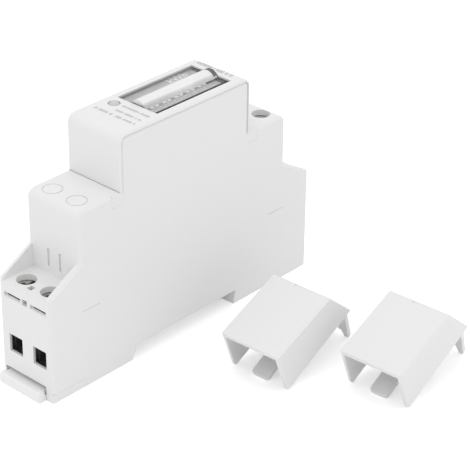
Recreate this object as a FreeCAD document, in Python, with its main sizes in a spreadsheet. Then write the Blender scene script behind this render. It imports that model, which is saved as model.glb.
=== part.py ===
# DIN rail energy meter, one module wide, with its two terminal covers taken off and lying beside it.
# Row frame in millimetres: the origin is the middle of the rail seat, +X runs along the body away from
# the rail latch, +Y runs across the body away from the side cover, and +Z points from the rail to the
# display.
import FreeCAD, Part
import math
import os

import Sketcher

Vector = FreeCAD.Vector
WHEELS = 6
WHEEL_TEETH = 20
PINION_TEETH = 8
doc = FreeCAD.newDocument("energy_meter")
sheet = doc.addObject("Spreadsheet::Sheet", "sizes")

# Driving dimensions: alias, value in millimetres or degrees, meaning
DRIVING = [
    ("body_width", 18.0, "one rail module across"),
    ("body_length", 93.0, "overall length of the body"),
    ("recess_length", 10.0, "terminal recess along the body"),
    ("head_length", 45.6, "length of the display head"),
    ("foot_depth", 3.9, "feet below the rail seat"),
    ("face_height", 24.8, "top of the end faces over the seat"),
    ("slope_height", 30.4, "top of the sloping side walls"),
    ("tier_height", 44.7, "top of the second tier"),
    ("head_height", 59.6, "top of the display head"),
    ("shell_wall", 1.6, "end, floor and roof walls of the base"),
    ("side_wall", 1.5, "side walls of the base and the side cover"),
    ("corner_radius", 2.2, "rounded top corners of tier and head"),
    ("edge_bevel", 0.6, "bevel along the side faces"),
    ("cap_bevel", 0.4, "bevel along the cap"),
    ("seam", 0.05, "joint gap between mouldings"),
    ("near_foot_end", 18.4, "seat edge of the latch-side foot"),
    ("near_foot_toe", 19.85, "bottom edge of the latch-side foot"),
    ("far_foot_end", 18.35, "seat edge of the hook-side foot"),
    ("far_foot_toe", 17.5, "bottom edge of the hook-side foot"),
    ("hook_reach", 16.2, "fixed hook lip from the rail centre"),
    ("flange_room", 1.35, "height kept for the rail flange"),
    ("hook_width", 10.0, "width of the fixed hook lip"),
    ("recess_floor", 24.1, "floor of the terminal recess"),
    ("terminal_pitch", 8.4, "spacing of the terminals across the body"),
    ("terminal_shift", 0.5, "power terminals towards the side cover"),
    ("screw_setback", 4.3, "screw axis behind the end face"),
    ("access_radius", 2.55, "screwdriver hole over a power screw"),
    ("entry_width", 4.6, "cable opening width"),
    ("entry_height", 4.9, "cable opening height"),
    ("entry_floor", 5.0, "cable opening over the seat"),
    ("entry_wall", 0.7, "end wall left around a cable opening"),
    ("entry_relief", 0.4, "relief around a cable opening, from inside"),
    ("slot_width", 5.7, "cover slot in the end face"),
    ("slot_height", 1.3, "cover slot in the end face"),
    ("slot_floor", 20.1, "cover slot over the seat"),
    ("slot_mouth", 0.4, "height of a cover slot at its inner end"),
    ("slot_pitch", 9.1, "spacing of the two cover slots"),
    ("peep_width", 1.8, "middle window of the end face"),
    ("peep_height", 1.6, "middle window of the end face"),
    ("vent_side", 1.6, "square hole in the recess floor"),
    ("vent_setback", 2.35, "square hole behind the end face"),
    ("slit_width", 0.7, "guide groove in the recess back wall"),
    ("slit_depth", 0.5, "depth of the guide grooves"),
    ("slit_pitch", 4.0, "spacing of the two grooves"),
    ("slit_floor", 26.1, "bottom of the grooves"),
    ("slit_height", 4.9, "height of the grooves"),
    ("pulse_setback", 4.1, "pulse screw axis behind the tier face"),
    ("pulse_radius", 2.45, "screwdriver hole over a pulse screw"),
    ("pulse_entry", 2.8, "square wire opening of a pulse terminal"),
    ("pulse_floor", 34.6, "pulse wire opening over the seat"),
    ("ring_radius", 2.6, "moulded ring on the closed tier"),
    ("ring_line", 0.3, "width of the moulded ring"),
    ("ring_depth", 0.25, "depth of the moulded ring"),
    ("barrier", 0.8, "insulating barrier between terminals"),
    ("chamber_length", 8.5, "terminal chamber behind the end wall"),
    ("lamp_margin", 14.8, "head between its end and the window, lamp side"),
    ("window_margin", 4.7, "head between its end and the window, far side"),
    ("window_width", 13.5, "display window across the body"),
    ("cap_wall", 1.4, "end walls of the front cap"),
    ("cap_roof", 1.6, "top of the front cap"),
    ("cap_skirt", 0.6, "cap edge seen above the side walls"),
    ("lug_step", 2.8, "snap lug of the cap beyond the head"),
    ("lug_floor", 41.5, "snap lug of the cap over the seat"),
    ("lamp_setback", 3.0, "status lamp before the window"),
    ("lamp_y", 4.8, "status lamp across the body"),
    ("lamp_radius", 1.5, "status lamp"),
    ("lens_flange", 0.7, "rim of the lens under the cap"),
    ("lens_width", 5.0, "magnifying bar of the lens"),
    ("lens_rise", 1.2, "magnifying bar over the cap"),
    ("lens_sink", 0.4, "lens plate below the cap top"),
    ("dial_thickness", 0.5, "dial plate"),
    ("dial_slot", 4.6, "number slot of the dial plate"),
    ("wheel_radius", 5.0, "number wheel"),
    ("register_margin", 0.9, "window length that the number wheels leave over"),
    ("wheel_gap", 0.3, "number wheels under the dial plate"),
    ("shaft_radius", 0.75, "register shaft"),
    ("running", 0.05, "running clearance of a shaft in its hole"),
    ("gear_module", 0.4, "register gears"),
    ("clamp_width", 5.4, "power cage clamp across"),
    ("clamp_length", 5.2, "power cage clamp along the body"),
    ("clamp_side", 0.7, "power cage clamp side walls"),
    ("clamp_floor", 1.4, "power cage clamp bottom wall"),
    ("clamp_roof", 2.0, "power cage clamp threaded wall"),
    ("bar_height", 1.5, "thickness of the busbars"),
    ("bar_width", 3.6, "width of the busbars"),
    ("screw_radius", 1.75, "power terminal screw"),
    ("screw_head", 2.65, "power terminal screw head radius"),
    ("head_depth", 2.4, "power terminal screw head height"),
    ("drive_slot", 0.9, "screwdriver slot"),
    ("pulse_clamp_width", 4.4, "pulse cage clamp across"),
    ("pulse_clamp_length", 4.0, "pulse cage clamp along the body"),
    ("pulse_clamp_wall", 0.6, "pulse cage clamp walls"),
    ("pulse_strip", 0.7, "pulse contact strip"),
    ("pulse_screw_radius", 1.25, "pulse terminal screw"),
    ("pulse_screw_head", 2.47, "pulse terminal screw head radius"),
    ("pulse_head_depth", 1.4, "pulse terminal screw head height"),
    ("latch_lip", 2.4, "front lip of the latch before the end face"),
    ("latch_tip", 16.3, "latch hook from the rail centre"),
    ("latch_low", 6.5, "latch channel, side cover side"),
    ("latch_high", 7.8, "latch channel, other side"),
    ("latch_body", 8.4, "latch tongue across"),
    ("latch_gap", 0.1, "sliding clearance of the latch"),
    ("latch_step", 1.3, "front wide part of the latch channel"),
    ("latch_front_land", 8.0, "latch channel before its spring window"),
    ("latch_rear_land", 5.6, "latch channel behind its spring window"),
    ("foot_core", 5.8, "half width of the cores in the far foot"),
    ("foot_wall", 2.0, "end wall of the far foot"),
    ("foot_toe_wall", 2.65, "rail side wall of the far foot"),
    ("board_near", 3.5, "circuit board behind the tier face, lamp side"),
    ("board_far", 7.5, "circuit board behind the tier face, pulse side"),
    ("board_floor", 14.0, "circuit board lower edge"),
    ("board_top", 41.0, "circuit board upper edge"),
    ("board_thickness", 1.6, "circuit board"),
    ("board_rib", 0.5, "ribs behind the circuit board"),
    ("cover_wall", 1.1, "walls of a terminal cover"),
    ("cover_tilt", 25.3, "slope of a cover lying on the floor, degrees"),
    ("cover_base", 27.4, "lower edge of a cover side wall"),
    ("cover_lip", 0.9, "front edge of a cover, setback"),
    ("cover_lip_height", 12.4, "front edge of a cover, height"),
    ("cover_ridge", 22.4, "ridge of a cover along its edge"),
    ("cover_ridge_height", 10.9, "ridge of a cover, height"),
    ("cover_leg_inset", 1.6, "cover leg from the side face, at the top"),
    ("cover_leg_toe", 3.6, "cover leg from the side face, at its end"),
    ("cover_tongue", 5.2, "width of the middle tongue"),
    ("cover_tongue_thickness", 1.0, "middle tongue"),
    ("cover_rib", 0.6, "thickness of the two cover ribs"),
    ("cover_notch", 3.5, "width of the ridge notch"),
    ("cover_notch_depth", 0.5, "depth of the ridge notch"),
    ("cover_edge", 0.3, "bevel along the cover sides"),
    ("cover_a_x", -3.24, "first cover, near corner"),
    ("cover_a_y", -46.32, "first cover, near corner"),
    ("cover_a_turn", 2.4, "first cover, turn on the floor, degrees"),
    ("cover_b_x", 10.85, "second cover, near corner"),
    ("cover_b_y", -72.46, "second cover, near corner"),
    ("cover_b_turn", 3.0, "second cover, turn on the floor, degrees"),
]


class Size:
    """A length that knows its value and the sheet formula that gives it."""

    def __init__(self, value, formula):
        self.value = float(value)
        self.formula = formula

    @staticmethod
    def of(other):
        if isinstance(other, Size):
            return other
        return Size(other, "(" + repr(float(other)) + ")")

    def __add__(self, other):
        other = Size.of(other)
        return Size(self.value + other.value, "(" + self.formula + " + " + other.formula + ")")

    def __sub__(self, other):
        other = Size.of(other)
        return Size(self.value - other.value, "(" + self.formula + " - " + other.formula + ")")

    def __mul__(self, other):
        other = Size.of(other)
        return Size(self.value * other.value, "(" + self.formula + " * " + other.formula + ")")

    def __truediv__(self, other):
        other = Size.of(other)
        return Size(self.value / other.value, "(" + self.formula + " / " + other.formula + ")")

    def __neg__(self):
        return Size(-self.value, "(0 - " + self.formula + ")")

    __radd__ = __add__
    __rmul__ = __mul__

    def __rsub__(self, other):
        return Size.of(other) - self

    def __float__(self):
        return self.value


def tangent(angle):
    return Size(math.tan(math.radians(angle.value)), "tan(" + angle.formula + ")")


class Sizes:
    """The driving dimensions, read back from the sheet by their names."""


dim = Sizes()
for row, (alias, value, meaning) in enumerate(DRIVING, start=1):
    sheet.set("A%d" % row, alias)
    sheet.set("B%d" % row, str(value))
    sheet.set("C%d" % row, meaning)
    sheet.setAlias("B%d" % row, alias)
doc.recompute()
for alias, value, meaning in DRIVING:
    setattr(dim, alias, Size(sheet.get(alias), "sizes." + alias))

NODES = []


def node(label, feature):
    """Name a finished sub-part and put it on the list of files."""
    feature.Label = label
    NODES.append(feature)
    return feature


def bind(feature, prop, size):
    """Set a property of a feature from a size, with its formula."""
    size = Size.of(size)
    feature.setExpression(prop, size.formula)


# Sketched bodies. A plane is named by its two sketch axes; "low" and "high" are row coordinates along
# its normal, so a pad fills from low to high and a pocket clears from low to high.
PLANES = {"XY": ("XY_Plane", 1), "XZ": ("XZ_Plane", -1), "YZ": ("YZ_Plane", 1)}


def new_body(label):
    body = doc.addObject("PartDesign::Body", label)
    return body


def new_sketch(body, plane, offset):
    """A sketch on one of the body's own origin planes, moved along its normal."""
    role, sign = PLANES[plane]
    origin = [item for item in body.Origin.OriginFeatures if item.Role == role][0]
    sketch = body.newObject("Sketcher::SketchObject", body.Name + "_sketch")
    sketch.AttachmentSupport = (origin, [""])
    sketch.MapMode = "FlatFace"
    bind(sketch, "AttachmentOffset.Base.z", offset)
    return sketch


def fill_sketch(sketch, outlines, circles):
    """Closed outlines of straight edges and circles, every corner and radius tied to its sizes."""
    rules = []
    formulas = []
    shapes = []

    def tie(kind, arguments, size):
        size = Size.of(size)
        formulas.append((len(rules), size.formula))
        rules.append(Sketcher.Constraint(kind, *arguments, size.value))

    def tie_point(index, place, point):
        tie("DistanceX", (-1, 1, index, place), point[0])
        tie("DistanceY", (-1, 1, index, place), point[1])

    for points in outlines:
        first = len(shapes)
        count = len(points)
        corners = [Vector(float(a), float(b), 0) for a, b in points]
        for step in range(count):
            shapes.append(Part.LineSegment(corners[step], corners[(step + 1) % count]))
            nxt = first + (step + 1) % count
            rules.append(Sketcher.Constraint("Coincident", first + step, 2, nxt, 1))
            tie_point(first + step, 1, points[step])
    for centre, radius in circles:
        middle = Vector(float(centre[0]), float(centre[1]), 0)
        shapes.append(Part.Circle(middle, Vector(0, 0, 1), float(radius)))
        tie("Radius", (len(shapes) - 1,), radius)
        tie_point(len(shapes) - 1, 3, centre)
    sketch.addGeometry(shapes)
    sketch.addConstraint(rules)
    for index, formula in formulas:
        sketch.setExpression("Constraints[%d]" % index, formula)


def rectangle(a0, a1, b0, b1):
    return [(a0, b0), (a1, b0), (a1, b1), (a0, b1)]


def solid_step(body, kind, plane, outlines, circles, low, high):
    """A pad or pocket between two row coordinates along the plane's normal."""
    low = Size.of(low)
    high = Size.of(high)
    if PLANES[plane][1] < 0:
        low, high = -high, -low
    sketch = new_sketch(body, plane, low if kind == "Pad" else high)
    fill_sketch(sketch, outlines, circles)
    doc.recompute()
    step = body.newObject("PartDesign::" + kind, body.Name + "_" + kind.lower())
    step.Profile = sketch
    bind(step, "Length", high - low)
    doc.recompute()
    return step


def pad(body, plane, outlines, low, high, circles=()):
    return solid_step(body, "Pad", plane, outlines, circles, low, high)


def pocket(body, plane, outlines, low, high, circles=()):
    before = body.Shape.Volume
    step = solid_step(body, "Pocket", plane, outlines, circles, low, high)
    if body.Shape.Volume >= before - 1e-6:
        raise ValueError("a pocket of %s cuts nothing" % body.Name)
    return step


def round_edges(body, radius, wanted):
    """Round the edges of the body's tip that a test picks out."""
    tip = body.Tip
    names = []
    for index, edge in enumerate(tip.Shape.Edges, start=1):
        if wanted(edge):
            names.append("Edge%d" % index)
    if not names:
        raise ValueError("no edge of %s to round" % body.Name)
    step = body.newObject("PartDesign::Fillet", body.Name + "_fillet")
    step.Base = (tip, names)
    bind(step, "Radius", radius)
    doc.recompute()
    return step


def bevel_edges(body, size, wanted):
    """Bevel the edges of the body's tip that a test picks out."""
    tip = body.Tip
    names = []
    for index, edge in enumerate(tip.Shape.Edges, start=1):
        if wanted(edge):
            names.append("Edge%d" % index)
    if not names:
        raise ValueError("no edge of %s to bevel" % body.Name)
    step = body.newObject("PartDesign::Chamfer", body.Name + "_bevel")
    step.Base = (tip, names)
    bind(step, "Size", size)
    doc.recompute()
    return step


def ends(edge):
    return [vertex.Point for vertex in edge.Vertexes]


def upright_at(x, z, reach=0.02):
    """A test for edges across the body at one point of the side profile."""
    x = float(x)
    z = float(z)

    def wanted(edge):
        return all(abs(p.x - x) < reach and abs(p.z - z) < reach for p in ends(edge))

    return wanted


def any_of(*tests):
    return lambda edge: any(test(edge) for test in tests)


def in_side_plane(y, over, reach=0.01):
    """A test for edges that lie in one plane across the body and reach above a height."""
    y = float(y)
    over = float(over)

    def wanted(edge):
        points = ends(edge)
        return all(abs(p.y - y) < reach for p in points) and max(p.z for p in points) > over

    return wanted


# Plain solids from primitives
def box(x0, x1, y0, y1, z0, z1):
    solid = doc.addObject("Part::Box", "block")
    for prop, low, high in (("Length", x0, x1), ("Width", y0, y1), ("Height", z0, z1)):
        bind(solid, prop, Size.of(high) - Size.of(low))
    for axis, low in (("x", x0), ("y", y0), ("z", z0)):
        bind(solid, "Placement.Base." + axis, low)
    return solid


TURNS = {
    "X": FreeCAD.Rotation(Vector(0, 1, 0), 90),
    "Y": FreeCAD.Rotation(Vector(1, 0, 0), -90),
    "Z": FreeCAD.Rotation(),
}


def cylinder(axis, x, y, z, radius, length):
    """A cylinder that starts at a point and runs along +X, +Y or +Z."""
    solid = doc.addObject("Part::Cylinder", "round")
    solid.Placement = FreeCAD.Placement(Vector(), TURNS[axis])
    bind(solid, "Radius", radius)
    bind(solid, "Height", length)
    for name, value in (("x", x), ("y", y), ("z", z)):
        bind(solid, "Placement.Base." + name, value)
    return solid


def fuse(solids):
    joined = doc.addObject("Part::MultiFuse", "joined")
    joined.Shapes = solids
    joined.Refine = True
    return joined


def cut(base, tools):
    tool = tools[0] if len(tools) == 1 else fuse(tools)
    left = doc.addObject("Part::Cut", "cut")
    left.Base = base
    left.Tool = tool
    left.Refine = True
    return left


# Derived places, used by more than one piece
half_width = dim.body_width / 2
side_plane = half_width - dim.side_wall
half_body = dim.body_length / 2
half_tier = half_body - dim.recess_length
half_head = dim.head_length / 2
skirt_half = half_head - dim.cap_skirt
skirt_top = dim.head_height - dim.cap_skirt
floor_top = dim.shell_wall
inner_end = half_body - dim.shell_wall
recess_roof = dim.recess_floor - dim.shell_wall
inner_tier = half_tier - dim.shell_wall
tier_roof = dim.tier_height - dim.shell_wall
screw_x = half_body - dim.screw_setback
pulse_y = dim.terminal_pitch / 2
partition_far = inner_end - dim.chamber_length
partition_near = partition_far - dim.barrier
window_start = dim.lamp_margin - half_head
window_end = half_head - dim.window_margin
lamp_x = window_start - dim.lamp_setback
lug_reach = half_head + dim.lug_step
wheel_pitch = (window_end - window_start - dim.register_margin) / WHEELS
wheel_face = wheel_pitch / 1.5
gear_face = wheel_pitch * 0.12
pulse_x = half_tier - dim.pulse_setback
bar_floor = dim.entry_floor + dim.entry_height + 0.2
bar_roof = bar_floor + dim.bar_height
cap_floor = dim.head_height - dim.cap_roof
head_radius = dim.corner_radius - dim.cap_skirt
dial_top = cap_floor - dim.lens_flange
wheel_z = dial_top - dim.dial_thickness - dim.wheel_gap - dim.wheel_radius
frame_start = window_start - 1.2
frame_end = window_end + 2.9
board_face = side_plane - dim.board_rib - dim.board_thickness
pulse_roof = dim.pulse_floor + dim.pulse_entry + 0.2 + dim.pulse_strip
board_start = dim.board_near - half_tier
board_end = half_tier - dim.board_far
strip_end = partition_near
strip_top = -1.5
spring_start = dim.latch_front_land - half_body
spring_end = -dim.near_foot_end - dim.latch_rear_land


def power_y(hand):
    """Place across the body of the power terminals: -1 is live, 1 is neutral."""
    return dim.terminal_pitch / 2 * hand - dim.terminal_shift


def body_outline(low_corner):
    """The side profile of base and side cover; low_corner starts at the latch-side foot."""
    return low_corner + [
        (-dim.near_foot_toe, -dim.foot_depth),
        (-dim.near_foot_end - 0.2, -dim.foot_depth * 0.41),
        (-dim.near_foot_end, 0),
        (dim.far_foot_end, 0),
        (dim.far_foot_toe, -dim.foot_depth),
        (half_body, -dim.foot_depth),
        (half_body, dim.face_height),
        (half_tier, dim.slope_height),
        (half_tier, dim.tier_height),
        (skirt_half, dim.tier_height),
        (skirt_half, skirt_top),
        (-skirt_half, skirt_top),
        (-skirt_half, dim.tier_height),
        (-half_tier, dim.tier_height),
        (-half_tier, dim.slope_height),
        (-half_body, dim.face_height),
    ]


def round_profile(body):
    """Round the tier and head corners of the side profile."""
    tier = [upright_at(side * half_tier, dim.tier_height) for side in (-1, 1)]
    top = [upright_at(side * skirt_half, skirt_top) for side in (-1, 1)]
    round_edges(body, dim.corner_radius, any_of(*tier))
    round_edges(body, head_radius, any_of(*top))


# Base housing: the tub with feet, terminal chambers, recesses and the far side wall
def make_base():
    body = new_body("base_housing")
    corner = [(-half_body, -dim.foot_depth)]
    pad(body, "XZ", [body_outline(corner)], -side_plane, half_width)
    round_profile(body)
    bevel_edges(body, dim.edge_bevel, in_side_plane(half_width, 1))
    cavity = [
        (-inner_end, floor_top),
        (inner_end, floor_top),
        (inner_end, recess_roof),
        (inner_tier, recess_roof),
        (inner_tier, tier_roof),
        (half_head + dim.seam, tier_roof),
        (half_head + dim.seam, dim.head_height + 1),
        (-half_head - dim.seam, dim.head_height + 1),
        (-half_head - dim.seam, tier_roof),
        (-inner_tier, tier_roof),
        (-inner_tier, recess_roof),
        (-inner_end, recess_roof),
    ]
    pocket(body, "XZ", [cavity], -side_plane - 1, side_plane)
    for side in (-1, 1):
        recess = [
            (side * half_tier, dim.recess_floor),
            (side * (half_body + 2), dim.recess_floor),
            (side * (half_body + 2), dim.slope_height + 2),
            (side * half_tier, dim.slope_height + 2),
        ]
        pocket(body, "XZ", [recess], -side_plane - 1, side_plane + 0.1)
    make_end_openings(body)
    make_tier_openings(body)
    make_chambers(body)
    make_feet(body)
    return node("base_housing", body)


def make_end_openings(body):
    """Cable openings, cover slots, screwdriver holes and vents at both ends."""
    for side in (-1, 1):
        low, high = (-half_body - 1, -inner_end + 0.5) if side < 0 else (inner_end - 0.5, half_body + 1)
        windows = []
        reliefs = []
        ramp = [
            (side * (half_body + 1), dim.slot_floor),
            (side * half_body, dim.slot_floor),
            (side * (inner_end - 0.1), dim.slot_floor + dim.slot_height - dim.slot_mouth),
            (side * (inner_end - 0.1), dim.slot_floor + dim.slot_height),
            (side * (half_body + 1), dim.slot_floor + dim.slot_height),
        ]
        for hand in (-1, 1):
            middle = power_y(hand)
            reach = dim.entry_width / 2
            windows.append(rectangle(
                middle - reach, middle + reach, dim.entry_floor, dim.entry_floor + dim.entry_height))
            reach = reach + dim.entry_relief
            reliefs.append(rectangle(
                middle - reach, middle + reach,
                dim.entry_floor - dim.entry_relief, dim.entry_floor + dim.entry_height + dim.entry_relief))
            middle = hand * dim.slot_pitch / 2 - dim.terminal_shift / 2
            pocket(body, "XZ", [ramp], middle - dim.slot_width / 2, middle + dim.slot_width / 2)
        inside = sorted((side * (inner_end - 0.5), side * (half_body - dim.entry_wall)), key=float)
        pocket(body, "YZ", reliefs, inside[0], inside[1])
        windows.append(rectangle(
            -dim.peep_width / 2, dim.peep_width / 2,
            dim.slot_floor, dim.slot_floor + dim.peep_height))
        pocket(body, "YZ", windows, low, high)
        holes = [((side * screw_x, power_y(hand)), dim.access_radius) for hand in (-1, 1)]
        vent_x = side * (half_body - dim.vent_setback)
        vent = rectangle(
            vent_x - dim.vent_side / 2, vent_x + dim.vent_side / 2,
            -dim.vent_side / 2, dim.vent_side / 2)
        pocket(body, "XY", [vent], recess_roof - 0.5, dim.recess_floor + 1, holes)


def make_tier_openings(body):
    """Guide grooves, pulse terminal openings, and the rings on the closed tier."""
    for side in (-1, 1):
        span = sorted((side * (half_tier - dim.slit_depth), side * (half_tier + 1)), key=float)
        slits = []
        for hand in (-1, 1):
            middle = hand * dim.slit_pitch / 2
            slits.append(rectangle(
                middle - dim.slit_width / 2, middle + dim.slit_width / 2,
                dim.slit_floor, dim.slit_floor + dim.slit_height))
        pocket(body, "YZ", slits, span[0], span[1])
    entries = []
    for hand in (-1, 1):
        middle = hand * pulse_y
        entries.append(rectangle(
            middle - dim.pulse_entry / 2, middle + dim.pulse_entry / 2,
            dim.pulse_floor, dim.pulse_floor + dim.pulse_entry))
    pocket(body, "YZ", entries, inner_tier - 0.5, half_tier + 1)
    holes = [((pulse_x, hand * pulse_y), dim.pulse_radius) for hand in (-1, 1)]
    pocket(body, "XY", [], tier_roof - 0.5, dim.tier_height + 1, holes)
    rings = []
    for hand in (-1, 1):
        centre = (-pulse_x, hand * pulse_y)
        rings.append((centre, dim.ring_radius))
        rings.append((centre, dim.ring_radius - dim.ring_line))
    pocket(body, "XY", [], dim.tier_height - dim.ring_depth, dim.tier_height + 1, rings)


def make_chambers(body):
    """Barriers between the terminals, partitions with busbar windows, and board ribs."""
    for side in (-1, 1):
        wall = sorted((side * partition_near, side * partition_far), key=float)
        pad(body, "YZ", [rectangle(-side_plane, side_plane, floor_top - 0.2, recess_roof + 0.2)],
            wall[0], wall[1])
        windows = []
        for hand in (-1, 1):
            middle = power_y(hand)
            windows.append(rectangle(
                middle - dim.bar_width / 2 - 0.2, middle + dim.bar_width / 2 + 0.2,
                bar_floor - 0.15, bar_roof + 0.15))
        pocket(body, "YZ", windows, wall[0] - 0.5, wall[1] + 0.5)
        span = sorted((side * (partition_far - 0.2), side * (inner_end + 0.2)), key=float)
        pad(body, "XZ", [rectangle(span[0], span[1], floor_top - 0.2, recess_roof + 0.2)],
            -dim.terminal_shift - dim.barrier / 2, dim.barrier / 2 - dim.terminal_shift)
    ribs = []
    for x in (board_start + 7, Size.of(0), board_end - 5):
        ribs.append(rectangle(x - 1, x + 1, dim.board_floor, dim.board_top))
    pad(body, "XZ", ribs, side_plane - dim.board_rib, side_plane + 0.2)


def make_feet(body):
    """The latch channel in the near foot, the fixed hook and the cored far foot."""
    low = -dim.foot_depth
    front = -half_body
    pad(body, "XZ", [rectangle(front, -strip_end - dim.seam, low, strip_top - dim.seam)],
        -half_width, -side_plane)
    channel_end = -dim.near_foot_end + 1
    step_x = front + dim.latch_step
    pocket(body, "XY", [rectangle(front - 1, step_x, -dim.latch_low, dim.latch_high)], low - 1, 0)
    pocket(body, "XY", [rectangle(front, channel_end, -dim.latch_low, dim.latch_low)],
           -dim.flange_room, 0)
    tongue = dim.latch_body / 2 + dim.latch_gap
    pocket(body, "XY", [rectangle(front, channel_end, -tongue, tongue)],
           low - 1, -dim.flange_room + 0.2)
    pocket(body, "XY", [rectangle(spring_start, spring_end, -dim.latch_low, dim.latch_low)],
           low - 1, -dim.flange_room + 0.2)
    hook = [
        (dim.far_foot_toe + 0.6, -dim.flange_room),
        (dim.hook_reach, -dim.flange_room - 0.3),
        (dim.hook_reach, low + 0.6),
        (dim.hook_reach + 0.6, low),
        (dim.far_foot_toe + 0.6, low),
    ]
    pad(body, "XZ", [hook], -dim.hook_width / 2, dim.hook_width / 2)
    cores = []
    start = dim.far_foot_end + dim.foot_toe_wall
    span = half_body - dim.foot_wall - start
    for low_share, high_share in ((0, 0.319), (0.383, 0.681), (0.745, 1)):
        cores.append(rectangle(
            start + span * low_share, start + span * high_share, -dim.foot_core, dim.foot_core))
    pocket(body, "XY", cores, low - 1, -0.4)


# Side cover: the flat wall that closes the tub
def make_side_cover():
    body = new_body("side_cover")
    corner = [
        (-half_body, strip_top),
        (-strip_end, strip_top),
        (-strip_end, -dim.foot_depth),
    ]
    pad(body, "XZ", [body_outline(corner)], -half_width, -side_plane)
    round_profile(body)
    bevel_edges(body, dim.edge_bevel, in_side_plane(-half_width, 1))
    notches = []
    for side in (-1, 1):
        notches.append(rectangle(
            side * skirt_half, side * (lug_reach + dim.seam),
            dim.lug_floor - dim.seam, dim.tier_height + 1))
    pocket(body, "XZ", notches, -half_width - 1, -side_plane + 1)
    marks = []
    for side in (-1, 1):
        marks.append(rectangle(side * (half_tier - 6), side * (half_tier - 0.3), 17.5, 17.75))
    pocket(body, "XZ", marks, -half_width - 1, -half_width + 0.15)
    return node("side_cover", body)


# Front cap: the moulded top of the head, with the window and the snap lugs
def make_front_cap():
    body = new_body("front_cap")
    bottom = dim.tier_height
    skirt = [
        (-half_head, bottom), (-skirt_half, bottom), (-skirt_half, skirt_top),
        (skirt_half, skirt_top), (skirt_half, bottom), (half_head, bottom),
        (half_head, dim.head_height), (-half_head, dim.head_height),
    ]
    pad(body, "XZ", [skirt], -half_width, half_width)
    inner = half_head - dim.cap_wall
    leg = dim.lug_floor
    shell = [
        (-half_head, leg), (-inner, leg), (-inner, cap_floor),
        (inner, cap_floor), (inner, leg), (half_head, leg),
        (half_head, dim.head_height), (-half_head, dim.head_height),
    ]
    pad(body, "XZ", [shell], -side_plane + dim.seam, side_plane - dim.seam)
    lugs = []
    for side in (-1, 1):
        lugs.append(rectangle(side * skirt_half, side * lug_reach, dim.lug_floor, bottom))
    pad(body, "XZ", lugs, -half_width, -side_plane)
    round_edges(body, head_radius - dim.seam, any_of(
        upright_at(skirt_half, skirt_top), upright_at(-skirt_half, skirt_top)))
    round_edges(body, dim.corner_radius, any_of(
        upright_at(half_head, dim.head_height), upright_at(-half_head, dim.head_height)))
    bevel_edges(body, dim.cap_bevel, outer_cap_edge)
    window = rectangle(
        window_start, window_end, -dim.window_width / 2, dim.window_width / 2)
    pocket(body, "XY", [window], cap_floor - 1, dim.head_height + 1,
           [((lamp_x, dim.lamp_y), dim.lamp_radius + 0.1)])
    return node("front_cap", body)


def outer_cap_edge(edge):
    """A test for the cap's outer edges in the two side planes."""
    points = ends(edge)
    if any(abs(abs(p.y) - float(half_width)) > 0.01 for p in points):
        return False
    if max(p.z for p in points) < float(dim.tier_height) + 0.5:
        return False
    return all(abs(p.x) > float(half_head) - 0.1 or p.z > float(dim.head_height) - 0.1 for p in points)


# Display window: a clear plate held under the cap, with a magnifying bar over the numbers
def make_window_lens():
    plug_gap = 0.1
    x0 = window_start + plug_gap
    x1 = window_end - plug_gap
    y1 = dim.window_width / 2 - plug_gap
    plate_top = dim.head_height - dim.lens_sink
    flange = box(window_start - 1.0, window_end + 1.0, -side_plane + 0.6, side_plane - 0.6,
                 cap_floor - dim.lens_flange, cap_floor)
    plug = box(x0, x1, -y1, y1, cap_floor - 0.1, plate_top)
    rise = dim.lens_rise + dim.lens_sink
    radius = (dim.lens_width * dim.lens_width / 4 + rise * rise) / (rise * 2)
    bar = cylinder("X", x0 + 0.3, 0, plate_top + rise - radius, radius, x1 - x0 - 0.6)
    keep = box(x0, x1, -y1, y1, plate_top - 0.3, dim.head_height + dim.lens_rise + 1)
    rounded = doc.addObject("Part::Common", "bar")
    rounded.Base = bar
    rounded.Tool = keep
    return node("window_lens", fuse([flange, plug, rounded]))


# Dial plate under the window, with the slot for the numbers
def make_dial_plate():
    plate = box(frame_start, frame_end, -side_plane + 0.8, side_plane - 0.8,
                dial_top - dim.dial_thickness, dial_top)
    slot = box(window_start + 0.6, window_end - 0.6, -dim.dial_slot / 2, dim.dial_slot / 2,
               dial_top - dim.dial_thickness - 1, dial_top + 1)
    return node("dial_plate", cut(plate, [slot]))


# Status lamp with its two leads down to the board
def make_status_lamp():
    top = dim.head_height + 0.3
    body_top = top - dim.lamp_radius * 0.4
    barrel = cylinder("Z", lamp_x, dim.lamp_y, cap_floor - 3.2, dim.lamp_radius, body_top - cap_floor + 3.2)
    dome = doc.addObject("Part::Cone", "dome")
    bind(dome, "Radius1", dim.lamp_radius)
    bind(dome, "Radius2", dim.lamp_radius * 0.55)
    bind(dome, "Height", dim.lamp_radius * 0.4)
    for axis, value in (("x", lamp_x), ("y", dim.lamp_y), ("z", body_top)):
        bind(dome, "Placement.Base." + axis, value)
    collar = cylinder("Z", lamp_x, dim.lamp_y, cap_floor - 3.2, dim.lamp_radius + 0.2, 0.8)
    leads = []
    for hand in (-1, 1):
        x = lamp_x + hand * 0.8
        leads.append(box(x - 0.25, x + 0.25, dim.lamp_y - 0.25, dim.lamp_y + 0.25,
                         dim.board_top - 3, cap_floor - 3.1))
        leads.append(box(x - 0.25, x + 0.25, dim.lamp_y - 0.25, board_face,
                         dim.board_top - 3, dim.board_top - 2.5))
    return node("status_lamp", fuse([barrel, dome, collar] + leads))


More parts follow.
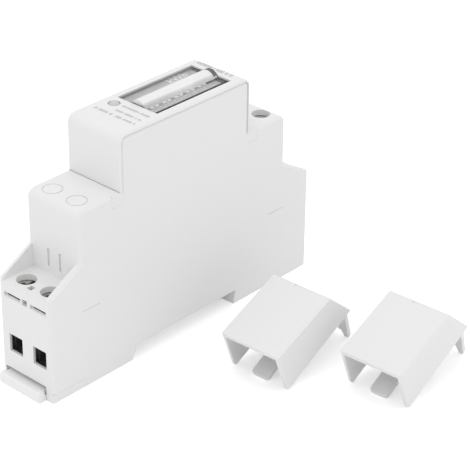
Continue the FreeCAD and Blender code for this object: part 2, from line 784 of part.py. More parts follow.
# Register gears: straight-flanked teeth, thin enough to run with backlash
def gear_solid(x0, width, teeth, phase, y, z, bore, addendum=0.32):
    """A spur gear about an axis along X; phase is the angle of one tooth's middle, in degrees from +Y."""
    pitch_radius = float(dim.gear_module) * teeth / 2
    root = pitch_radius - 0.46
    tip = pitch_radius + addendum
    half_root = 0.34 / root
    half_tip = 0.09 / tip
    points = []
    for tooth in range(teeth):
        middle = math.radians(phase) + 2 * math.pi * tooth / teeth
        for radius, offset in ((root, -half_root), (tip, -half_tip), (tip, half_tip), (root, half_root)):
            angle = middle + offset
            along = float(y) + radius * math.cos(angle)
            points.append(Vector(float(x0), along, float(z) + radius * math.sin(angle)))
    points.append(points[0])
    blank = Part.Face(Part.makePolygon(points)).extrude(Vector(float(width), 0, 0))
    if bore is None:
        return blank
    return blank.cut(disc(float(x0) - 1, float(width) + 2, bore, y, z))


def disc(x0, width, radius, y, z):
    place = Vector(float(x0), float(y), float(z))
    return Part.makeCylinder(float(radius), float(width), place, Vector(1, 0, 0))


def feature(label, shape):
    item = doc.addObject("Part::Feature", label)
    item.Shape = shape.removeSplitter()
    return node(label, item)


def make_register():
    pitch = float(wheel_pitch)
    face = float(wheel_face)
    width = float(gear_face)
    bore = float(dim.shaft_radius + dim.running)
    module = float(dim.gear_module)
    z = float(wheel_z)
    centre = module * (WHEEL_TEETH + PINION_TEETH) / 2
    pinion_angle = -45.0
    py = centre * math.cos(math.radians(pinion_angle))
    pz = z + centre * math.sin(math.radians(pinion_angle))
    drive_angle = -90.0
    first = float(frame_start) + 1.0
    pinion_shaft_radius = 0.5
    for place in range(WHEELS):
        number = WHEELS - place
        x0 = first + place * pitch
        wheel = disc(x0, face, dim.wheel_radius, 0, z)
        phase = drive_angle if number == 1 else pinion_angle
        gear = gear_solid(x0 + face - 0.05, width + 0.05, WHEEL_TEETH, phase, 0, z, None)
        wheel = wheel.fuse(gear)
        if number < WHEELS:
            reach = pitch / 12
            for turn in (-9.0, 9.0):
                tooth = Part.makeBox(reach + 0.1, 0.5, 1.0, Vector(x0 - reach, -0.25, z + 2.2))
                tooth.rotate(Vector(0, 0, z), Vector(1, 0, 0), turn + 70.0)
                wheel = wheel.fuse(tooth)
        wheel = wheel.cut(disc(x0 - 1, pitch + 2, bore, 0, z))
        feature("number_wheel_%d" % number, wheel)
        if number > 1:
            gear_x = x0 + face + 0.05
            pinion = gear_solid(gear_x, width - 0.1, PINION_TEETH, pinion_angle + 180 + 180 / PINION_TEETH,
                                py, pz, pinion_shaft_radius + float(dim.running))
            feature("carry_pinion_%d" % (number - 1), pinion)
    last = first + WHEELS * pitch
    shaft = disc(float(frame_start) - 0.1, float(frame_end - frame_start) + 0.2, dim.shaft_radius, 0, z)
    feature("register_shaft", shaft)
    bracket = (first + (WHEELS - 0.99 - 0.19) * pitch, pitch * 0.08)
    start = float(frame_start) - 0.1
    pinion_shaft = disc(start, sum(bracket) - start, pinion_shaft_radius, py, pz)
    feature("pinion_shaft", pinion_shaft)
    make_drive(first + (WHEELS - 1) * pitch + face + 0.1, width, z, centre, drive_angle)
    make_register_frame(py, pz, z, centre, pinion_shaft_radius, last, bracket)


def make_drive(gear_x, width, z, centre, drive_angle):
    """Drive gear with its pinion under the units wheel, and the stepper motor that turns it."""
    arbor_z = z - centre
    rotor_z = arbor_z - centre
    bore = 0.5 + float(dim.running)
    phase = drive_angle + 180 + 180 / PINION_TEETH
    pinion = gear_solid(gear_x, width + 0.3, PINION_TEETH, phase, 0, arbor_z, bore)
    wheel = gear_solid(gear_x + width + 0.2, width, WHEEL_TEETH, -90.0, 0, arbor_z, bore)
    feature("drive_gear", pinion.fuse(wheel))
    feature("drive_arbor", disc(gear_x - 1.0, float(frame_end) - gear_x + 1.0, 0.5, 0, arbor_z))
    magnet_x = gear_x - 5.5
    rotor = disc(magnet_x, 3.0, 2.6, 0, rotor_z)
    stem = disc(magnet_x - 1.2, float(frame_end) - 0.4 - magnet_x + 1.2, 0.45, 0, rotor_z)
    teeth = gear_solid(gear_x + width + 0.15, width + 0.1, PINION_TEETH, 90 + 180 / PINION_TEETH,
                       0, rotor_z, None)
    feature("stepper_rotor", rotor.fuse(stem).fuse(teeth))
    plate = Part.makeBox(2.0, 10.6, 13.0, Vector(magnet_x + 0.5, -5.5, rotor_z - 9.5))
    plate = plate.cut(disc(magnet_x, 3.0, 2.9, 0, rotor_z))
    plate = plate.cut(Part.makeBox(4.0, 7.0, 1.4, Vector(magnet_x - 0.5, -3.5, rotor_z - 5.6)))
    feature("stepper_stator", plate)
    coil = Part.makeBox(4.4, 6.6, 5.0, Vector(magnet_x - 0.7, -3.3, rotor_z - 10.4))
    core = Part.makeBox(2.0, 8.0, 3.9, Vector(magnet_x + 0.5, -4.0, rotor_z - 9.5))
    feature("stepper_coil", coil.cut(core))


def make_register_frame(py, pz, z, centre, pinion_shaft_radius, last, bracket):
    """End plates and back plate that carry the shafts, and the arm that carries the motor."""
    x0 = float(frame_start)
    x1 = float(frame_end)
    y0 = -float(side_plane) + 1.4
    y1 = float(side_plane) - 0.5
    top = float(dial_top - dim.dial_thickness)
    low = z - 2 * centre - 9.0
    floor = z - 7.5
    clear = float(board_face) - 0.2
    rotor_z = z - 2 * centre
    left = Part.makeBox(0.8, y1 - y0, top - floor, Vector(x0, y0, floor))
    right = Part.makeBox(0.8, y1 - y0, top - floor, Vector(x1 - 0.8, y0, floor))
    lower = Part.makeBox(0.8, clear - y0, floor - low, Vector(x1 - 0.8, y0, low))
    back = Part.makeBox(x1 - x0, 0.6, top - floor, Vector(x0, y1 - 0.6, floor))
    arm = Part.makeBox(x1 - 0.8 - (last - 8.0), 0.6, floor - low, Vector(last - 8.0, y0, low))
    bearing = Part.makeBox(0.6, 1.0 - y0, 2.0, Vector(last - 7.8, y0, rotor_z - 1.0))
    lug = Part.makeBox(bracket[1], y1 - 3.0, 2.0, Vector(bracket[0], 3.0, pz - 1.0))
    frame = left.fuse([right, lower, back, arm, bearing, lug])
    frame = frame.cut(disc(x0 - 1, x1 - x0 + 2, float(dim.shaft_radius), 0, z))
    frame = frame.cut(disc(x0 - 1, x1 - x0, pinion_shaft_radius, py, pz))
    frame = frame.cut(disc(x1 - 2, 3.0, 0.5, 0, z - centre))
    frame = frame.cut(disc(last - 8.5, 20.0, 0.5, 0, rotor_z))
    feature("register_frame", frame)


# Circuit board with its main parts, standing along the far side wall
def make_board():
    board = box(board_start, board_end, board_face, board_face + dim.board_thickness,
                dim.board_floor, dim.board_top)
    node("circuit_board", board)
    film = box(board_start + 2, board_start + 18, board_face - 8.0, board_face, 26.0, 38.0)
    node("film_capacitor", film)
    node("supply_capacitor", cylinder("X", board_start + 3, board_face - 4.0, 19.5, 4.0, 12.0))
    node("varistor", cylinder("Y", window_start + 6, board_face - 4.0, 25.5, 4.5, 4.0))
    chip_x = window_start + 5
    chip = box(chip_x, chip_x + 8, board_face - 1.9, board_face - 0.2, 33.4, 39.4)
    legs = []
    for step in range(6):
        x = chip_x + 0.6 + step * 1.27
        legs.append(box(x, x + 0.45, board_face - 1.0, board_face, 32.4, 40.4))
    node("metering_chip", fuse([chip] + legs))
    node("pulse_coupler", box(board_end - 11.5, board_end - 6.5, board_face - 3.5, board_face, 18.0, 24.5))


# Busbars: one straight neutral bar, and a live path with the measuring shunt in the middle
def make_busbars():
    end = inner_end - 0.6
    join = 9.0
    half_bar = dim.bar_width / 2
    y0 = power_y(-1) - half_bar
    y1 = power_y(-1) + half_bar
    node("neutral_bar", box(-end, end, power_y(1) - half_bar, power_y(1) + half_bar, bar_floor, bar_roof))
    node("live_bar_in", box(-end, -join, y0, y1, bar_floor, bar_roof))
    node("live_bar_out", box(join, end, y0, y1, bar_floor, bar_roof))
    strip = box(-join, join, y0, y1, bar_floor, bar_roof)
    taps = []
    for side in (-1, 1):
        low = side * 6.0 - 0.4
        high = side * 6.0 + 0.4
        taps.append(box(low, high, y1 - 0.8, y1, bar_roof - 0.1, dim.board_floor + 2))
        taps.append(box(low, high, y1 - 0.8, board_face, dim.board_floor + 1.2, dim.board_floor + 2))
    node("shunt_strip", fuse([strip] + taps))


# Terminals: a captive screw that lifts a cage against the busbar or contact strip
def make_terminal(name, x, y, spec):
    """One screw and one cage, both at rest with the clamp open; spec holds the sizes of its kind."""
    width, length, side, floor, roof, low, strip_roof, screw, head, depth, roof_under, drive = spec
    inner = strip_roof + 0.15
    cage = box(x - length / 2, x + length / 2, y - width / 2, y + width / 2, low - floor, inner + roof)
    tunnel = box(x - length / 2 - 1, x + length / 2 + 1, y - width / 2 + side, y + width / 2 - side,
                 low, inner)
    bore = cylinder("Z", x, y, inner - 1, screw + dim.running, roof + 2)
    node("clamp_" + name, cut(cage, [tunnel, bore]))
    shank = cylinder("Z", x, y, strip_roof + 0.05, screw, roof_under - depth / 2 - strip_roof)
    cap = cylinder("Z", x, y, roof_under - depth - 0.1, head, depth)
    slot = box(x - head - 1, x + head + 1, y - drive / 2, y + drive / 2, roof_under - 1.0, roof_under + 1)
    cross = box(x - drive / 2, x + drive / 2, y - head * 0.62, y + head * 0.62,
                roof_under - 1.4, roof_under + 1)
    node("screw_" + name, cut(fuse([shank, cap]), [slot, cross]))


def make_terminals():
    power = (dim.clamp_width, dim.clamp_length, dim.clamp_side, dim.clamp_floor, dim.clamp_roof,
             dim.entry_floor - 0.05, bar_roof, dim.screw_radius, dim.screw_head, dim.head_depth,
             recess_roof, dim.drive_slot)
    pulse = (dim.pulse_clamp_width, dim.pulse_clamp_length, dim.pulse_clamp_wall, dim.pulse_clamp_wall,
             dim.pulse_clamp_wall * 2, dim.pulse_floor - 0.05, pulse_roof, dim.pulse_screw_radius,
             dim.pulse_screw_head, dim.pulse_head_depth, tier_roof, dim.drive_slot / 2)
    make_terminal("live_in", -screw_x, power_y(-1), power)
    make_terminal("neutral_in", -screw_x, power_y(1), power)
    make_terminal("live_out", screw_x, power_y(-1), power)
    make_terminal("neutral_out", screw_x, power_y(1), power)
    make_terminal("pulse_minus", pulse_x, -pulse_y, pulse)
    make_terminal("pulse_plus", pulse_x, pulse_y, pulse)
    strip_half = 1.4
    strip_low = pulse_roof - dim.pulse_strip
    far = inner_tier - 0.3
    start = board_end - 4.6
    plus = box(board_end - 0.6, far, pulse_y - strip_half, board_face, strip_low, pulse_roof)
    minus = box(start, far, -pulse_y - strip_half, strip_half - pulse_y, strip_low, pulse_roof)
    across = box(start, start + 2.8, -pulse_y - strip_half, board_face, strip_low, pulse_roof)
    node("contact_pulse_plus", plus)
    node("contact_pulse_minus", fuse([minus, across]))


# Rail latch: one moulding with a pull lip, a tongue that hooks the rail, and two spring arms
def make_latch():
    body = new_body("rail_latch")
    gap = dim.latch_gap
    low = -dim.foot_depth + gap / 2
    front = -half_body - dim.latch_lip
    shoulder = -half_body + dim.latch_step - gap
    under = -dim.flange_room + gap
    lip = [
        (front + 0.2, low), (shoulder, low), (shoulder, low + 1.3), (-half_body - 0.1, low + 1.3),
        (-half_body - 0.9, under + 0.3), (front + 0.5, under + 0.3), (front, under - 0.3), (front, low + 0.3),
    ]
    pad(body, "XZ", [lip], -dim.latch_low + gap, dim.latch_high - gap)
    tongue = dim.latch_body / 2
    pad(body, "XY", [rectangle(shoulder - 0.3, spring_start - 0.1, -tongue, tongue),
                     rectangle(spring_end, -dim.latch_tip - 0.6, -tongue, tongue)], low, under)
    pad(body, "XY", [rectangle(spring_start - 0.4, spring_end + 0.3, -2.2, 2.2)], low, under)
    wings = [rectangle(spring_start - 3.9, spring_start - 0.2, -dim.latch_low + gap, dim.latch_low - gap),
             rectangle(spring_end + 0.1, -dim.near_foot_end - 0.6, -dim.latch_low + gap, dim.latch_low - gap)]
    pad(body, "XY", wings, under - 0.05, -gap)
    tip = [
        (-dim.latch_tip - 0.7, low), (-dim.latch_tip - 0.3, low), (-dim.latch_tip, low + 0.5),
        (-dim.latch_tip, under - 0.5), (-dim.latch_tip - 0.7, under),
    ]
    pad(body, "XZ", [tip], -tongue, tongue)
    arms = []
    reach = (spring_end - spring_start) / 14.5
    root = spring_end + 0.1
    for hand in (-1, 1):
        arms.append([
            (root, hand * 3.2), (root, hand * 4.0), (spring_end - reach * 8.2, hand * 4.9),
            (spring_end - reach * 9.6, hand * 6.0), (spring_end - reach * 10.6, hand * 6.0),
            (spring_end - reach * 11.3, hand * 4.9), (spring_end - reach * 11.3, hand * 4.0),
            (spring_end - reach * 9.9, hand * 4.2), (spring_end - reach * 8.2, hand * 4.1),
        ])
    pad(body, "XY", arms, low + 0.4, under)
    return node("rail_latch", body)


# Terminal covers, taken off: a hood with two side walls, a leg, two ribs and a tongue
def make_terminal_cover(label, x, y, turn):
    """The cover is drawn with its lower edge along +X and its near side in the plane Y = 0, then laid."""
    body = new_body(label)
    wall = dim.cover_wall
    wide = dim.body_width
    nose = (dim.cover_lip, dim.cover_lip_height)
    ridge = (dim.cover_ridge, dim.cover_ridge_height)
    heel = (dim.cover_base, 0)
    pad(body, "XZ", [[(0, 0), heel, ridge, nose]], 0, wide)
    round_edges(body, 0.9, any_of(upright_at(0, 0), upright_at(ridge[0], ridge[1])))
    bevel_edges(body, dim.cover_edge, any_of(in_side_plane(0, 0.5), in_side_plane(wide, 0.5)))
    hollow = [
        (-1, -0.6), (-1, dim.cover_lip_height - wall + 0.07),
        (dim.cover_ridge - wall * 0.7, dim.cover_ridge_height - wall),
        (dim.cover_base - wall * 1.1, 0), (dim.cover_base - wall * 1.1, -1), (-1, -1),
    ]
    pocket(body, "XZ", [hollow], wall, wide - wall)
    leg_end = -(dim.cover_base - wall * 1.05) * tangent(dim.cover_tilt)
    top = dim.cover_leg_inset
    toe = dim.cover_leg_toe
    leg = [
        (top, 0.4), (wide - top, 0.4), (wide - toe, leg_end), (wide - toe - 1.2, leg_end),
        (wide - toe - 2.2, leg_end + 5), (toe + 2.2, leg_end + 5), (toe + 1.2, leg_end), (toe, leg_end),
    ]
    pad(body, "YZ", [leg], dim.cover_base - wall * 1.05, dim.cover_base)
    rib = [
        (dim.cover_base - 0.2, -2.0), (dim.cover_base + 2.6, -7.5),
        (dim.cover_base + 2.6, leg_end + 2.0), (dim.cover_base - 0.2, leg_end + 0.6),
    ]
    middle = wide / 2
    for hand in (-1, 1):
        centre = middle + hand * dim.slit_pitch / 2
        pad(body, "XZ", [rib], centre - dim.cover_rib / 2, centre + dim.cover_rib / 2)
    tongue = rectangle(0, dim.cover_base - wall, 0, dim.cover_tongue_thickness)
    pad(body, "XZ", [tongue], middle - dim.cover_tongue / 2, middle + dim.cover_tongue / 2)
    round_edges(body, 1.0, any_of(
        edge_through(0, middle - dim.cover_tongue / 2), edge_through(0, middle + dim.cover_tongue / 2)))
    notch = rectangle(
        dim.cover_ridge - 0.8, dim.cover_ridge + 1.5,
        dim.cover_ridge_height - dim.cover_notch_depth, dim.cover_ridge_height + 1)
    pocket(body, "XZ", [notch], middle - dim.cover_notch / 2, middle + dim.cover_notch / 2)
    turned = FreeCAD.Rotation(Vector(0, 0, 1), float(turn))
    tilted = FreeCAD.Rotation(Vector(0, 1, 0), -float(dim.cover_tilt))
    body.Placement = FreeCAD.Placement(Vector(), turned.multiply(tilted))
    for axis, value in (("x", x), ("y", y), ("z", -dim.foot_depth)):
        bind(body, "Placement.Base." + axis, value)
    return node(label, body)


def edge_through(x, y, reach=0.02):
    """A test for short edges along the height at one point in plan."""
    x = float(x)
    y = float(y)

    def wanted(edge):
        return all(abs(p.x - x) < reach and abs(p.y - y) < reach for p in ends(edge))

    return wanted


def write_parts():
    """Check every object, then write one STEP file for each sub-part."""
    doc.recompute()
    for item in doc.Objects:
        if "Invalid" in item.State or "Error" in item.State:
            raise ValueError("%s failed: %s" % (item.Name, item.State))
    os.makedirs("parts", exist_ok=True)
    for item in NODES:
        shape = item.Shape
        if shape.isNull() or not shape.isValid():
            raise ValueError("%s has no valid shape" % item.Label)
        shape.exportStep("parts/%s.step" % item.Label)


make_base()
make_side_cover()
make_front_cap()
make_window_lens()
make_dial_plate()
make_status_lamp()
make_register()
make_board()
make_busbars()
make_terminals()
make_latch()
make_terminal_cover("terminal_cover_a", dim.cover_a_x, dim.cover_a_y, dim.cover_a_turn)
make_terminal_cover("terminal_cover_b", dim.cover_b_x, dim.cover_b_y, dim.cover_b_turn)
write_parts()
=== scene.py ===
"""Finishes, numbers, print and studio for a slim energy meter and its two loose terminal covers."""

import math

import bpy
import numpy as np
from mathutils import Matrix, Vector


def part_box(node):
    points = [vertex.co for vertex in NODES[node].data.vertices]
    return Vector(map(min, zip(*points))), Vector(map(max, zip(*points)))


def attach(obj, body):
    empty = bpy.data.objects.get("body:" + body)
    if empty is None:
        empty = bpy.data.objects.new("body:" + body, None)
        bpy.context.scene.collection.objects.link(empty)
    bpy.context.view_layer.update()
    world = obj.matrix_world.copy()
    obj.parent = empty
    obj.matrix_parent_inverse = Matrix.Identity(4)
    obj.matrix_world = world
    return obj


bl_info = {
    "name": "Rail Energy Meter",
    "version": (1, 0, 0),
    "blender": (4, 5, 0),
    "location": "3D View > Sidebar > Meter",
    "description": "Dresses a packed rail energy meter with finishes, numbers and print",
    "category": "Object",
}

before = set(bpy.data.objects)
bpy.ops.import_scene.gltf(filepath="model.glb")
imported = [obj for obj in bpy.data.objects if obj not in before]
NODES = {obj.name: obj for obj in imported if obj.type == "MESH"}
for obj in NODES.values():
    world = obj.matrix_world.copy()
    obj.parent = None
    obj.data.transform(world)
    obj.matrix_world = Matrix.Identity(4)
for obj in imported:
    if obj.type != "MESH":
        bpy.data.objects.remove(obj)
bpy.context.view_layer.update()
MM = 0.001
FLOOR = min(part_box(name)[0].z for name in NODES)
POWER_TERMINALS = ("live_in", "neutral_in", "live_out", "neutral_out")
PULSE_TERMINALS = ("pulse_minus", "pulse_plus")
WHEELS = 6
DIGITS = 10

# Sizes and places of the scene's own pieces, in millimetres
LATCH_WEB = ((-47.5, -45.4), (-5.9, 7.2), (-2.2, -1.15))
SLOT_FLOOR = 20.1
SLOT_SLOPE = 0.5
SLOT_LIFT = 0.05
SLOT_DEPTHS = (0.62, 1.45)
SLOT_MIDDLES = (-4.8, 4.3)
SLOT_EDGES = (-2.8, 2.3)
SEAM_WIDTH = 0.16
SEAM_REACH = 8.7
SEAM_HEIGHT = 44.72
CHAMBER_ALONG = (35.7, 44.95)
CHAMBER_HEIGHT = (1.5, 22.6)
RELIEF_ALONG = (44.9, 45.9)
RELIEF_HEIGHT = (4.0, 11.0)
CHAMBER_REACH = 7.55
UNIT_HEIGHT = 2.4
UNIT_MIDDLE = (11.6, 5.5)
UNIT_WEIGHT = 0.045
# Pale lines with strips beside them: painted highlights and painted shade for the dial plate's
# ribs.
LINE_SPAN = (-6.8, 17.0)
LINE_STARTS = (-5.5, -4.7, -3.9, -3.1)
LINE_WIDTH = 0.22
SHADE_END = 0.2
# Painted shade at the ends of the window, on the plate and over the bar's far end.
DIAL_END_SHADES = ((17.1, 19.4, -6.6, 0.0), (17.6, 19.4, 0.0, 6.6), (-8.8, -7.3, -6.6, 6.6))
# Painted shadow along the near edge of the window.
WINDOW_SHADOW_GAP = (-7.9, 18.0, -6.6, -5.5)
BAR_END = (16.6, 18.0)
BAR_END_STEPS = 16
BAR_END_SHARE = 0.49
PRINT_LIFT = 0.02
SHADE_LIFT = 0.015
BORDER_LIFT = 0.01
NUMBER_LIFT = 0.015
NUMBER_MARGIN = 0.35
NUMBER_HALF_WIDTH = 1.4
CAP_HEIGHT = 0.72
MARK_ROWS = (
    (-10.6, -6.6, 2.1, 1.0),
    (-13.3, -6.5, 1.8, 1.0),
    (-15.7, -6.8, 6.8, 1.1),
    (20.3, -5.6, 6.6, 1.5),
)
MARK_SPACING = 2.1
MARK_GAPS = 0.2

# Places and sizes of the studio, in metres
FLOOR_REACH = 2.0
LAMP_SIZE = 0.5
TOP_LAMP_PLACE = (-0.1, 0.05, 0.6)
SIDE_LAMP_PLACE = (0.0, -0.65, 0.2)
SENSOR_WIDTH = 36.0


# Sizes and colours that a user would change
class ShellSettings(bpy.types.PropertyGroup):
    """The white mouldings."""

    color: bpy.props.FloatVectorProperty(
        name="Housing", description="Colour of the housing and covers", subtype="COLOR",
        size=3, min=0.0, max=1.0, default=(0.83, 0.83, 0.83))
    latch_color: bpy.props.FloatVectorProperty(
        name="Latch", description="Colour of the rail latch", subtype="COLOR",
        size=3, min=0.0, max=1.0, default=(0.88, 0.88, 0.88))
    # Painted shade: this near-black stands in for the shade inside the terminal chambers and the
    # cover slots.
    chamber_color: bpy.props.FloatVectorProperty(
        name="Chambers", description="Colour inside the terminal chambers", subtype="COLOR",
        size=3, min=0.0, max=1.0, default=(0.04, 0.04, 0.04))
    head_length: bpy.props.FloatProperty(
        name="Head Length", description="Length of the display head", subtype="DISTANCE",
        min=0.0, default=45.6 * MM, precision=5)
    seam_color: bpy.props.FloatVectorProperty(
        name="Seam", description="Colour of the joint below the head", subtype="COLOR",
        size=3, min=0.0, max=1.0, default=(0.22, 0.22, 0.22))
    roughness: bpy.props.FloatProperty(
        name="Roughness", description="Roughness of the moulded face", subtype="FACTOR",
        min=0.0, max=1.0, default=0.46)
    grain_size: bpy.props.FloatProperty(
        name="Grain", description="Size of the spark-eroded grain", subtype="DISTANCE",
        min=0.0, default=0.12 * MM, precision=6)
    grain_depth: bpy.props.FloatProperty(
        name="Grain Depth", description="Depth of the spark-eroded grain", subtype="DISTANCE",
        min=0.0, default=0.006 * MM, precision=6)


class DialSettings(bpy.types.PropertyGroup):
    """The plate, window and numbers."""

    plate_color: bpy.props.FloatVectorProperty(
        name="Plate", description="Colour of the dial plate", subtype="COLOR",
        size=3, min=0.0, max=1.0, default=(0.63, 0.635, 0.64))
    # The print colour also paints the pale lines on the dial plate, painted highlights of the ribs'
    # lit edges.
    print_color: bpy.props.FloatVectorProperty(
        name="Plate Print", description="Colour of the print on the dial plate", subtype="COLOR",
        size=3, min=0.0, max=1.0, default=(0.9, 0.9, 0.9))
    # Painted shade: colour of the bands at the ends of the dial plate and over the bar's far end,
    # for the shade of the recess end walls.
    border_color: bpy.props.FloatVectorProperty(
        name="Plate Border", description="Colour of the dark border of the dial plate",
        subtype="COLOR", size=3, min=0.0, max=1.0, default=(0.12, 0.122, 0.125))
    # Painted shade: the rim and end colours darken the side faces of the window plate, for the
    # shade of the recess walls.
    rim_color: bpy.props.FloatVectorProperty(
        name="Rim", description="Colour of the long edges of the window plate", subtype="COLOR",
        size=3, min=0.0, max=1.0, default=(0.34, 0.34, 0.345))
    end_color: bpy.props.FloatVectorProperty(
        name="Ends", description="Colour of the short edges of the window plate", subtype="COLOR",
        size=3, min=0.0, max=1.0, default=(0.07, 0.07, 0.073))
    # Painted shade: colour of the strips beside the pale lines, for the shaded sides of the plate's
    # ribs.
    shade_color: bpy.props.FloatVectorProperty(
        name="Line Shade", description="Colour of the shaded lines on the dial plate",
        subtype="COLOR", size=3, min=0.0, max=1.0, default=(0.42, 0.42, 0.43))
    # Painted shadow: colour of the strip along the near edge of the window, for the shadow gap
    # under the cap edge.
    joint_color: bpy.props.FloatVectorProperty(
        name="Joint", description="Colour of the gap along the window", subtype="COLOR",
        size=3, min=0.0, max=1.0, default=(0.012, 0.012, 0.013))
    bar_rise: bpy.props.FloatProperty(
        name="Bar Rise", description="Height of the magnifying bar over the window plate",
        subtype="DISTANCE", min=0.0, default=1.6 * MM, precision=5)
    bar_width: bpy.props.FloatProperty(
        name="Bar Width", description="Width of the magnifying bar", subtype="DISTANCE",
        min=0.0, default=5.0 * MM, precision=5)
    number_color: bpy.props.FloatVectorProperty(
        name="Numbers", description="Colour of the numbers on the drums", subtype="COLOR",
        size=3, min=0.0, max=1.0, default=(0.07, 0.07, 0.075))
    number_height: bpy.props.FloatProperty(
        name="Number Height", description="Height of a number on its drum", subtype="DISTANCE",
        min=0.0, default=1.8 * MM, precision=5)
    lamp_color: bpy.props.FloatVectorProperty(
        name="Lamp", description="Colour of the unlit status lamp", subtype="COLOR",
        size=3, min=0.0, max=1.0, default=(0.58, 0.58, 0.59))


class PrintSettings(bpy.types.PropertyGroup):
    """Plain marks on the front cap."""

    color: bpy.props.FloatVectorProperty(
        name="Marks", description="Colour of the marks on the cap", subtype="COLOR",
        size=3, min=0.0, max=1.0, default=(0.36, 0.36, 0.37))
    tick_width: bpy.props.FloatProperty(
        name="Tick", description="Width of a printed tick", subtype="DISTANCE",
        min=0.0, default=0.24 * MM, precision=5)


class StudioSettings(bpy.types.PropertyGroup):
    """Camera and light."""

    camera_place: bpy.props.FloatVectorProperty(
        name="Camera", description="Place of the camera", subtype="TRANSLATION", unit="LENGTH",
        size=3, default=(-0.2976, -0.29392, 0.25686))
    azimuth: bpy.props.FloatProperty(
        name="Heading", description="Heading of the camera from +Y towards +X", subtype="ANGLE",
        default=math.radians(47.909))
    pitch: bpy.props.FloatProperty(
        name="Pitch", description="Angle of the camera below the horizon", subtype="ANGLE",
        default=math.radians(29.463))
    roll: bpy.props.FloatProperty(
        name="Roll", description="Turn of the camera about its view", subtype="ANGLE",
        default=math.radians(0.801))
    lens: bpy.props.FloatProperty(
        name="Lens", description="Focal length on a 36 mm sensor in millimetres",
        min=1.0, default=145.13)
    sky: bpy.props.FloatProperty(
        name="Sky", description="Strength of the even studio light", min=0.0, default=0.9)
    top_lamp: bpy.props.FloatProperty(
        name="Top Lamp", description="Power of the lamp overhead", unit="POWER",
        min=0.0, default=0.45)
    side_lamp: bpy.props.FloatProperty(
        name="Side Lamp", description="Power of the lamp beside the covers", unit="POWER",
        min=0.0, default=0.05)
    floor_glow: bpy.props.FloatProperty(
        name="Floor Glow", description="Light added to the floor where the camera sees it",
        min=0.0, default=0.35)


class MeterSettings(bpy.types.PropertyGroup):
    """All settings of the meter."""

    shell: bpy.props.PointerProperty(type=ShellSettings)
    dial: bpy.props.PointerProperty(type=DialSettings)
    marks: bpy.props.PointerProperty(type=PrintSettings)
    studio: bpy.props.PointerProperty(type=StudioSettings)


def settings():
    return bpy.context.scene.rail_meter


# Shader building
def rgba(color):
    return (*tuple(color)[:3], 1.0)


def link(material, source, output, target, socket):
    material.node_tree.links.new(source.outputs[output], target.inputs[socket])


def principled(material):
    return material.node_tree.nodes["Principled BSDF"]


def new_material(name, color, roughness, **sockets):
    """A Principled material; the other sockets are given by name."""
    material = bpy.data.materials.new(name)
    material.use_nodes = True
    shader = principled(material)
    shader.inputs["Base Color"].default_value = rgba(color)
    shader.inputs["Roughness"].default_value = roughness
    for socket, value in sockets.items():
        shader.inputs[socket.replace("_", " ")].default_value = value
    material.diffuse_color = rgba(color)
    return material


def group_socket(tree, name, direction, kind, default=None):
    socket = tree.interface.new_socket(name=name, in_out=direction, socket_type=kind)
    if default is not None:
        socket.default_value = default


def moulded_group():
    """Moulded plastic: fine grain in height, and a slow unevenness in colour and gloss."""
    tree = bpy.data.node_groups.get("Moulded Surface")
    if tree:
        return tree
    tree = bpy.data.node_groups.new("Moulded Surface", "ShaderNodeTree")
    group_socket(tree, "Color", "INPUT", "NodeSocketColor", (0.8, 0.8, 0.8, 1.0))
    group_socket(tree, "Roughness", "INPUT", "NodeSocketFloat", 0.45)
    group_socket(tree, "Grain Scale", "INPUT", "NodeSocketFloat", 8000.0)
    group_socket(tree, "Grain Depth", "INPUT", "NodeSocketFloat", 0.000006)
    group_socket(tree, "Shade", "INPUT", "NodeSocketFloat", 0.012)
    group_socket(tree, "Color", "OUTPUT", "NodeSocketColor")
    group_socket(tree, "Roughness", "OUTPUT", "NodeSocketFloat")
    group_socket(tree, "Normal", "OUTPUT", "NodeSocketVector")
    nodes = tree.nodes
    links = tree.links
    given = nodes.new("NodeGroupInput")
    result = nodes.new("NodeGroupOutput")
    place = nodes.new("ShaderNodeTexCoord")
    slow = nodes.new("ShaderNodeTexNoise")
    slow.inputs["Scale"].default_value = 45.0
    slow.inputs["Detail"].default_value = 3.0
    links.new(place.outputs["Object"], slow.inputs["Vector"])
    shade = nodes.new("ShaderNodeMath")
    shade.operation = "MULTIPLY_ADD"
    links.new(slow.outputs["Fac"], shade.inputs[0])
    links.new(given.outputs["Shade"], shade.inputs[1])
    shade.inputs[2].default_value = 1.0
    tone = nodes.new("ShaderNodeVectorMath")
    tone.operation = "SCALE"
    links.new(given.outputs["Color"], tone.inputs[0])
    links.new(shade.outputs[0], tone.inputs["Scale"])
    links.new(tone.outputs["Vector"], result.inputs["Color"])
    gloss = nodes.new("ShaderNodeMath")
    gloss.operation = "MULTIPLY_ADD"
    links.new(slow.outputs["Fac"], gloss.inputs[0])
    gloss.inputs[1].default_value = 0.08
    links.new(given.outputs["Roughness"], gloss.inputs[2])
    links.new(gloss.outputs[0], result.inputs["Roughness"])
    grain = nodes.new("ShaderNodeTexNoise")
    grain.inputs["Detail"].default_value = 2.0
    links.new(place.outputs["Object"], grain.inputs["Vector"])
    links.new(given.outputs["Grain Scale"], grain.inputs["Scale"])
    bump = nodes.new("ShaderNodeBump")
    bump.inputs["Strength"].default_value = 1.0
    links.new(grain.outputs["Fac"], bump.inputs["Height"])
    links.new(given.outputs["Grain Depth"], bump.inputs["Distance"])
    links.new(bump.outputs["Normal"], result.inputs["Normal"])
    return tree


